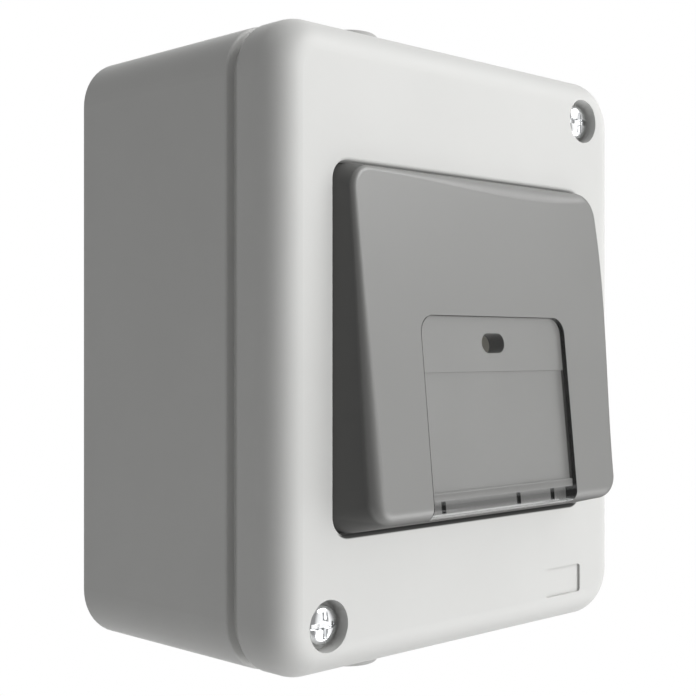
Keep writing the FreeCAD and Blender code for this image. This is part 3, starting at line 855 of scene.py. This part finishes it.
@dataclass
class MovingContacts:
    """Sprung plunger and the changeover bridge. Sizes in millimetres."""

    seat: Point = (7.2, -37.982, 0.354)
    way: Point = ROCKER_INWARD
    room: float = 12.0
    travel: float = 0.6
    coil_radius: float = 1.08
    wire_radius: float = 0.22
    turns: int = 8
    turn_points: int = 24
    wire_points: int = 10

    def coil(self) -> np.ndarray:
        """Works out the spring's wire.

        The middle line is a helix: seat + way times a length that grows evenly, + radius (cos, sin) of an
        angle that grows with it. A circle of the wire's radius is carried along it and shrinks to a point at
        both ends.

        Returns:
            Points in metres, as a grid of places along the wire by places round it.
        """
        way = np.array(self.way)
        across = np.array([1.0, 0.0, 0.0])
        up = np.cross(way, across)
        share = np.linspace(0.0, 1.0, self.turns * self.turn_points + 1)[:, None]
        sweep = 2 * math.pi * self.turns
        length = self.room - 2 * self.wire_radius
        cosine, sine = np.cos(sweep * share), np.sin(sweep * share)
        out = cosine * across + sine * up
        middle = np.array(self.seat) + way * (self.wire_radius + length * share) + self.coil_radius * out
        along = (cosine * up - sine * across) * self.coil_radius * sweep + way * length
        side = np.cross(along / np.linalg.norm(along, axis=1, keepdims=True), out)
        doubled = (np.concatenate([rows[:1], rows, rows[-1:]]) for rows in (middle, out, side))
        middle, out, side = doubled
        radius = np.full((len(middle), 1, 1), self.wire_radius)
        radius[[0, -1]] = 0.0
        angles = full_turn(self.wire_points)[None, :, None]
        ring = out[:, None] * np.cos(angles) + side[:, None] * np.sin(angles)
        return (middle[:, None] + radius * ring) * MM

    def fit_spring(self) -> None:
        """Fits the spring, which the plunger presses together against the carrier."""
        points = self.coil()
        faces = grid_faces(len(points), self.wire_points, True)
        mesh = mesh_of("pressure_spring", points.reshape(-1, 3), faces)
        spring = fit_piece(mesh, SPRING_STEEL, Body.PLUNGER, "plunger_spring")
        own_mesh(spring)

    def dress(self) -> None:
        """Dresses the plunger, its spring and the bridge."""
        dress("plunger", CARRIER_PLASTIC)
        self.fit_spring()
        dress("contact_bridge", CONTACT_BRASS)
        dress("bridge_contact_tips", CONTACT_SILVER)


@dataclass(frozen=True)
class SoftBox:
    """Round area lamp that looks at the switch, in metres and watts; a fill's light passes the rocker."""

    name: str
    place: Point
    size: float
    power: float
    fill: bool = False


@dataclass
class Studio:
    """Pale floor, white backdrop, soft light and the camera.

    Sizes are in metres, lens and sensor in millimetres. A room step is the X of a direction and the share of
    the room's light that comes from there.
    """

    camera_place: Point = (-0.1290, -0.1472, 0.0)
    camera_view: Point = (0.7010, 0.7132, 0.0)
    lens: float = 68.2
    sensor: float = 36.0
    clip_start: float = 0.01
    floor_z: float = -0.2
    floor_radius: float = 0.34
    floor_full: float = 0.1
    floor_rings: int = 5
    floor_spokes: int = 96
    floor_colour: Colour = (0.8, 0.8, 0.8)
    floor_change: float = 0.01
    floor_cloud: float = 0.5
    floor_roughness: float = 0.9
    backdrop_radius: float = 3.0
    backdrop_rows: int = 25
    backdrop_columns: int = 48
    room_light: float = 1.2
    room_steps: tuple[tuple[float, float], ...] = (
        (0.1, 0.245), (0.36, 0.85), (0.6, 1.0), (0.78, 1.0), (0.9, 0.3),
    )
    passed_nodes: tuple[str, ...] = ("rocker", "label_window")
    lamps: tuple[SoftBox, ...] = (
        SoftBox("upper_key", (0.58, -0.79, 0.69), 0.8, 7.6, True),
        SoftBox("lower_key", (0.58, -0.79, -0.69), 0.8, 8.0, True),
        SoftBox("overhead", (0.14, -0.2, 0.97), 0.9, 0.4),
    )

    def link(self, name: str, data: bpy.types.ID) -> bpy.types.Object:
        """Makes an object and puts it in the scene.

        Args:
            name: Name of the object.
            data: Its mesh, lamp or camera.

        Returns:
            The object.
        """
        item = bpy.data.objects.new(name, data)
        bpy.context.scene.collection.objects.link(item)
        return item

    def aim(self, item: bpy.types.Object, along: Vector) -> None:
        """Turns a camera or lamp so that it looks along a direction."""
        item.rotation_euler = along.to_track_quat("-Z", "Y").to_euler()

    def add_camera(self) -> None:
        """Stands the camera level with the middle of the switch, to its left."""
        data = bpy.data.cameras.new("camera")
        data.lens = self.lens
        data.sensor_width = self.sensor
        data.clip_start = self.clip_start
        camera = self.link("camera", data)
        camera.location = self.camera_place
        self.aim(camera, Vector(self.camera_view))
        bpy.context.scene.camera = camera

    def add_floor(self) -> None:
        """Lays a round pale floor below the switch: rings by spokes, radius times cosine and sine.

        Its rim fades into the backdrop.
        """
        spokes = full_turn(self.floor_spokes)
        rings = np.linspace(0.0, self.floor_radius, self.floor_rings)[:, None]
        height = self.floor_z + 0 * rings * spokes
        grid = np.stack([rings * np.cos(spokes), rings * np.sin(spokes), height], axis=-1)
        faces = grid_faces(self.floor_rings, self.floor_spokes, True)
        mesh = mesh_of("floor", grid.reshape(-1, 3), faces)
        graph = NodeGraph("floor")
        graph.shade(Roughness=self.floor_roughness, Specular_IOR_Level=0.0)
        graph.tint(graph.noise(self.floor_cloud), self.floor_colour, self.floor_change)
        reach = graph.add("VectorMath", operation="LENGTH")
        graph.join(graph.place, reach, 0)
        near, far = (math.hypot(radius, self.floor_z) for radius in (self.floor_full, self.floor_radius))
        fade = graph.ranged(reach.outputs["Value"], near, far, 1.0, 0.0, interpolation_type="SMOOTHSTEP")
        graph.join(fade, graph.shader, "Alpha")
        mesh.materials.append(graph.material)
        self.link("floor", mesh)

    def add_backdrop(self) -> None:
        """Hangs a white globe round the room, which is seen but gives no light.

        A point is radius times sine of the polar angle times cosine and sine of the turn, and radius times
        cosine of the polar angle.
        """
        turn = full_turn(self.backdrop_columns)
        polar = np.linspace(0.0, math.pi, self.backdrop_rows)[:, None]
        globe = (np.sin(polar) * np.cos(turn), np.sin(polar) * np.sin(turn), np.cos(polar) + 0 * turn)
        points = self.backdrop_radius * np.stack(globe, axis=-1)
        faces = grid_faces(self.backdrop_rows, self.backdrop_columns, True)
        mesh = mesh_of("backdrop", points.reshape(-1, 3), faces)
        graph = NodeGraph("backdrop")
        graph.shade(Base_Color=(0.0, 0.0, 0.0, 1.0), Specular_IOR_Level=0.0, Emission_Strength=1.0)
        graph.shade(Emission_Color=(1.0, 1.0, 1.0, 1.0))
        mesh.materials.append(graph.material)
        backdrop = self.link("backdrop", mesh)
        backdrop.visible_diffuse = False
        backdrop.visible_glossy = False
        backdrop.visible_transmission = False
        backdrop.visible_shadow = False

    def passed_pieces(self) -> bpy.types.Collection:
        """Lists the pieces that throw no shadow from a fill lamp.

        Returns:
            A collection of them, set to be left out.
        """
        passed = bpy.data.collections.new("passed_pieces")
        for node in self.passed_nodes:
            passed.objects.link(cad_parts[node])
        for entry in passed.collection_objects:
            entry.light_linking.link_state = "EXCLUDE"
        return passed

    def add_lamps(self) -> None:
        """Hangs the soft lamps."""
        passed = self.passed_pieces()
        for lamp in self.lamps:
            data = bpy.data.lights.new(lamp.name, "AREA")
            data.shape = "DISK"
            data.size = lamp.size
            data.energy = lamp.power
            item = self.link(lamp.name, data)
            item.location = lamp.place
            self.aim(item, -Vector(lamp.place))
            if lamp.fill:
                item.light_linking.blocker_collection = passed

    def add_room(self) -> None:
        """Lights the room all round: dim on the left, bright on the right and dim at the far right."""
        world = bpy.data.worlds.new("studio")
        world.use_nodes = True
        nodes, links = world.node_tree.nodes, world.node_tree.links
        way = nodes.new("ShaderNodeTexCoord")
        split = nodes.new("ShaderNodeSeparateXYZ")
        side = nodes.new("ShaderNodeMapRange")
        side.inputs["From Min"].default_value = -1.0
        ramp = nodes.new("ShaderNodeValToRGB")
        elements = ramp.color_ramp.elements
        while len(elements) < len(self.room_steps):
            elements.new(0.5)
        for element, (x, share) in zip(elements, self.room_steps):
            element.position = (x + 1) / 2
            element.color = (share, share, share, 1.0)
        links.new(way.outputs["Generated"], split.inputs["Vector"])
        links.new(split.outputs["X"], side.inputs["Value"])
        links.new(side.outputs["Result"], ramp.inputs["Fac"])
        links.new(ramp.outputs["Color"], nodes["Background"].inputs["Color"])
        nodes["Background"].inputs["Strength"].default_value = self.room_light
        bpy.context.scene.world = world

    def build(self) -> None:
        """Sets up the whole studio."""
        self.add_camera()
        self.add_floor()
        self.add_backdrop()
        self.add_lamps()
        self.add_room()
        bpy.context.scene.view_settings.view_transform = "Standard"


def main() -> None:
    """Builds the studio and the sub-assemblies in order."""
    logging.basicConfig(level=logging.INFO, format="%(message)s")
    Studio().build()
    insides = (RockerUnit(), SwitchInsert(), MovingContacts())
    for assembly in (Enclosure(), CoverFixings(), CableEntries(), *insides):
        assembly.dress()


if __name__ == "__main__":
    main()
